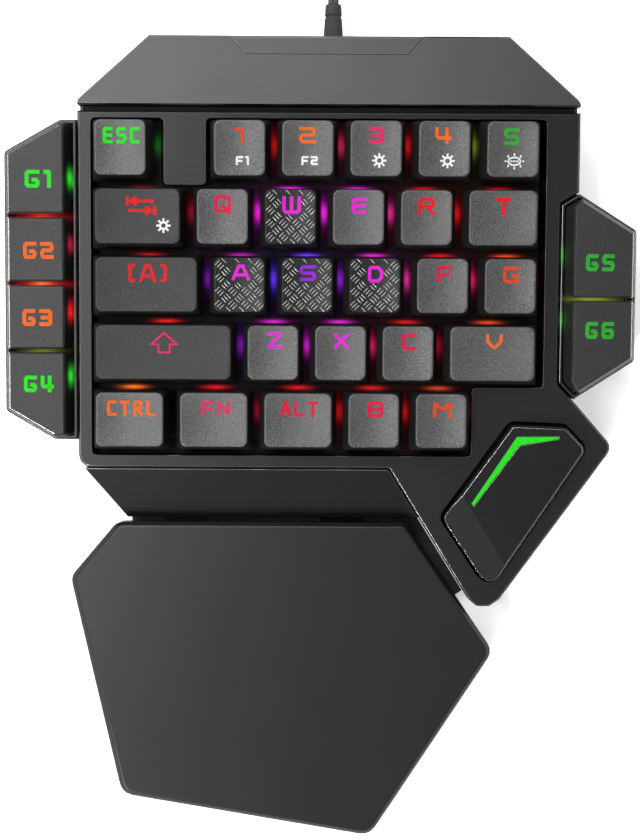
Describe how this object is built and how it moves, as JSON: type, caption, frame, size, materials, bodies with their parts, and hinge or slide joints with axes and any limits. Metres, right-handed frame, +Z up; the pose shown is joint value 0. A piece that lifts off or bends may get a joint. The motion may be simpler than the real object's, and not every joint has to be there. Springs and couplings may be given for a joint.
{
  "type": "gaming keypad",
  "caption": "One-handed mechanical gaming keypad with tilted key deck, side macro keys, a large thumb key, a braided cord and a slide-off wrist rest.",
  "frame": {"origin": "bottom centre of the keypad's box without its cord, at table level", "axes": "+X to the user's right, +Y away from the user towards the cord, +Z up"},
  "size_m": [0.1809, 0.3112, 0.0375],
  "materials": {
    "satin": "satin black",
    "gloss": "gloss black",
    "keycap": "fine-grained dark grey",
    "switch": "black",
    "board": "green board",
    "rubber": "soft black",
    "cord": "black braid",
    "nickel": "nickel plated",
    "light": "green light guide"
  },
  "bodies": {
    "case": {"top_frame": "satin", "rear_cover": "gloss", "rear_inlay": "gloss", "front_apron": "gloss", "left_wing_cover": "gloss", "right_wing_cover": "gloss", "bottom_case": "satin", "switch_plate": "switch", "circuit_board": "board", "case_foot_rear_left": "rubber", "case_foot_rear_right": "rubber", "case_foot_front_left": "rubber", "case_foot_front_right": "rubber", "strain_relief": "rubber", "cord_run": "cord", "cord_coil": "cord", "cord_tie": "rubber", "usb_grip": "rubber", "usb_shell": "nickel", "usb_insulator": "rubber"},
    "key_esc_body": {"key_esc": "keycap"},
    "key_1_body": {"key_1": "keycap"},
    "key_2_body": {"key_2": "keycap"},
    "key_3_body": {"key_3": "keycap"},
    "key_4_body": {"key_4": "keycap"},
    "key_5_body": {"key_5": "keycap"},
    "key_tab_body": {"key_tab": "keycap"},
    "key_q_body": {"key_q": "keycap"},
    "key_w_body": {"key_w": "keycap"},
    "key_e_body": {"key_e": "keycap"},
    "key_r_body": {"key_r": "keycap"},
    "key_t_body": {"key_t": "keycap"},
    "key_caps_body": {"key_caps": "keycap"},
    "key_a_body": {"key_a": "keycap"},
    "key_s_body": {"key_s": "keycap"},
    "key_d_body": {"key_d": "keycap"},
    "key_f_body": {"key_f": "keycap"},
    "key_g_body": {"key_g": "keycap"},
    "key_shift_body": {"key_shift": "keycap"},
    "key_z_body": {"key_z": "keycap"},
    "key_x_body": {"key_x": "keycap"},
    "key_c_body": {"key_c": "keycap"},
    "key_v_body": {"key_v": "keycap"},
    "key_ctrl_body": {"key_ctrl": "keycap"},
    "key_fn_body": {"key_fn": "keycap"},
    "key_alt_body": {"key_alt": "keycap"},
    "key_b_body": {"key_b": "keycap"},
    "key_m_body": {"key_m": "keycap"},
    "macro_key_1_body": {"macro_key_1": "keycap"},
    "macro_key_2_body": {"macro_key_2": "keycap"},
    "macro_key_3_body": {"macro_key_3": "keycap"},
    "macro_key_4_body": {"macro_key_4": "keycap"},
    "macro_key_5_body": {"macro_key_5": "keycap"},
    "macro_key_6_body": {"macro_key_6": "keycap"},
    "thumb_key_body": {"thumb_key": "gloss", "thumb_light_bar": "light"},
    "wrist_rest": {"wrist_rest_cover": "satin", "wrist_rest_base": "satin", "rest_foot_rear": "rubber", "rest_foot_front": "rubber"}
  },
  "joints": [
    {"name": "key_esc_press", "type": "slide", "parent": "case", "child": "key_esc_body", "axis": [0, 0.0872, -0.9962], "range_m": [0, 0.0037], "stiffness_N_per_m": 100, "springref_m": -0.003},
    {"name": "key_1_press", "type": "slide", "parent": "case", "child": "key_1_body", "axis": [0, 0.0872, -0.9962], "range_m": [0, 0.0037], "stiffness_N_per_m": 100, "springref_m": -0.003},
    {"name": "key_2_press", "type": "slide", "parent": "case", "child": "key_2_body", "axis": [0, 0.0872, -0.9962], "range_m": [0, 0.0037], "stiffness_N_per_m": 100, "springref_m": -0.003},
    {"name": "key_3_press", "type": "slide", "parent": "case", "child": "key_3_body", "axis": [0, 0.0872, -0.9962], "range_m": [0, 0.0037], "stiffness_N_per_m": 100, "springref_m": -0.003},
    {"name": "key_4_press", "type": "slide", "parent": "case", "child": "key_4_body", "axis": [0, 0.0872, -0.9962], "range_m": [0, 0.0037], "stiffness_N_per_m": 100, "springref_m": -0.003},
    {"name": "key_5_press", "type": "slide", "parent": "case", "child": "key_5_body", "axis": [0, 0.0872, -0.9962], "range_m": [0, 0.0037], "stiffness_N_per_m": 100, "springref_m": -0.003},
    {"name": "key_tab_press", "type": "slide", "parent": "case", "child": "key_tab_body", "axis": [0, 0.0872, -0.9962], "range_m": [0, 0.0037], "stiffness_N_per_m": 100, "springref_m": -0.003},
    {"name": "key_q_press", "type": "slide", "parent": "case", "child": "key_q_body", "axis": [0, 0.0872, -0.9962], "range_m": [0, 0.0037], "stiffness_N_per_m": 100, "springref_m": -0.003},
    {"name": "key_w_press", "type": "slide", "parent": "case", "child": "key_w_body", "axis": [0, 0.0872, -0.9962], "range_m": [0, 0.0037], "stiffness_N_per_m": 100, "springref_m": -0.003},
    {"name": "key_e_press", "type": "slide", "parent": "case", "child": "key_e_body", "axis": [0, 0.0872, -0.9962], "range_m": [0, 0.0037], "stiffness_N_per_m": 100, "springref_m": -0.003},
    {"name": "key_r_press", "type": "slide", "parent": "case", "child": "key_r_body", "axis": [0, 0.0872, -0.9962], "range_m": [0, 0.0037], "stiffness_N_per_m": 100, "springref_m": -0.003},
    {"name": "key_t_press", "type": "slide", "parent": "case", "child": "key_t_body", "axis": [0, 0.0872, -0.9962], "range_m": [0, 0.0037], "stiffness_N_per_m": 100, "springref_m": -0.003},
    {"name": "key_caps_press", "type": "slide", "parent": "case", "child": "key_caps_body", "axis": [0, 0.0872, -0.9962], "range_m": [0, 0.0037], "stiffness_N_per_m": 100, "springref_m": -0.003},
    {"name": "key_a_press", "type": "slide", "parent": "case", "child": "key_a_body", "axis": [0, 0.0872, -0.9962], "range_m": [0, 0.0037], "stiffness_N_per_m": 100, "springref_m": -0.003},
    {"name": "key_s_press", "type": "slide", "parent": "case", "child": "key_s_body", "axis": [0, 0.0872, -0.9962], "range_m": [0, 0.0037], "stiffness_N_per_m": 100, "springref_m": -0.003},
    {"name": "key_d_press", "type": "slide", "parent": "case", "child": "key_d_body", "axis": [0, 0.0872, -0.9962], "range_m": [0, 0.0037], "stiffness_N_per_m": 100, "springref_m": -0.003},
    {"name": "key_f_press", "type": "slide", "parent": "case", "child": "key_f_body", "axis": [0, 0.0872, -0.9962], "range_m": [0, 0.0037], "stiffness_N_per_m": 100, "springref_m": -0.003},
    {"name": "key_g_press", "type": "slide", "parent": "case", "child": "key_g_body", "axis": [0, 0.0872, -0.9962], "range_m": [0, 0.0037], "stiffness_N_per_m": 100, "springref_m": -0.003},
    {"name": "key_shift_press", "type": "slide", "parent": "case", "child": "key_shift_body", "axis": [0, 0.0872, -0.9962], "range_m": [0, 0.0037], "stiffness_N_per_m": 100, "springref_m": -0.003},
    {"name": "key_z_press", "type": "slide", "parent": "case", "child": "key_z_body", "axis": [0, 0.0872, -0.9962], "range_m": [0, 0.0037], "stiffness_N_per_m": 100, "springref_m": -0.003},
    {"name": "key_x_press", "type": "slide", "parent": "case", "child": "key_x_body", "axis": [0, 0.0872, -0.9962], "range_m": [0, 0.0037], "stiffness_N_per_m": 100, "springref_m": -0.003},
    {"name": "key_c_press", "type": "slide", "parent": "case", "child": "key_c_body", "axis": [0, 0.0872, -0.9962], "range_m": [0, 0.0037], "stiffness_N_per_m": 100, "springref_m": -0.003},
    {"name": "key_v_press", "type": "slide", "parent": "case", "child": "key_v_body", "axis": [0, 0.0872, -0.9962], "range_m": [0, 0.0037], "stiffness_N_per_m": 100, "springref_m": -0.003},
    {"name": "key_ctrl_press", "type": "slide", "parent": "case", "child": "key_ctrl_body", "axis": [0, 0.0872, -0.9962], "range_m": [0, 0.0037], "stiffness_N_per_m": 100, "springref_m": -0.003},
    {"name": "key_fn_press", "type": "slide", "parent": "case", "child": "key_fn_body", "axis": [0, 0.0872, -0.9962], "range_m": [0, 0.0037], "stiffness_N_per_m": 100, "springref_m": -0.003},
    {"name": "key_alt_press", "type": "slide", "parent": "case", "child": "key_alt_body", "axis": [0, 0.0872, -0.9962], "range_m": [0, 0.0037], "stiffness_N_per_m": 100, "springref_m": -0.003},
    {"name": "key_b_press", "type": "slide", "parent": "case", "child": "key_b_body", "axis": [0, 0.0872, -0.9962], "range_m": [0, 0.0037], "stiffness_N_per_m": 100, "springref_m": -0.003},
    {"name": "key_m_press", "type": "slide", "parent": "case", "child": "key_m_body", "axis": [0, 0.0872, -0.9962], "range_m": [0, 0.0037], "stiffness_N_per_m": 100, "springref_m": -0.003},
    {"name": "macro_key_1_press", "type": "slide", "parent": "case", "child": "macro_key_1_body", "axis": [0, 0.0872, -0.9962], "range_m": [0, 0.0037], "stiffness_N_per_m": 100, "springref_m": -0.003},
    {"name": "macro_key_2_press", "type": "slide", "parent": "case", "child": "macro_key_2_body", "axis": [0, 0.0872, -0.9962], "range_m": [0, 0.0037], "stiffness_N_per_m": 100, "springref_m": -0.003},
    {"name": "macro_key_3_press", "type": "slide", "parent": "case", "child": "macro_key_3_body", "axis": [0, 0.0872, -0.9962], "range_m": [0, 0.0037], "stiffness_N_per_m": 100, "springref_m": -0.003},
    {"name": "macro_key_4_press", "type": "slide", "parent": "case", "child": "macro_key_4_body", "axis": [0, 0.0872, -0.9962], "range_m": [0, 0.0037], "stiffness_N_per_m": 100, "springref_m": -0.003},
    {"name": "macro_key_5_press", "type": "slide", "parent": "case", "child": "macro_key_5_body", "axis": [0, 0.0872, -0.9962], "range_m": [0, 0.0037], "stiffness_N_per_m": 100, "springref_m": -0.003},
    {"name": "macro_key_6_press", "type": "slide", "parent": "case", "child": "macro_key_6_body", "axis": [0, 0.0872, -0.9962], "range_m": [0, 0.0037], "stiffness_N_per_m": 100, "springref_m": -0.003},
    {"name": "thumb_key_press", "type": "slide", "parent": "case", "child": "thumb_key_body", "axis": [0, 0.0872, -0.9962], "range_m": [0, 0.0037], "stiffness_N_per_m": 100, "springref_m": -0.003},
    {"name": "wrist_rest_slide", "type": "slide", "parent": "case", "child": "wrist_rest", "axis": [0, -1, 0], "range_m": [0, 0.03]}
  ]
}
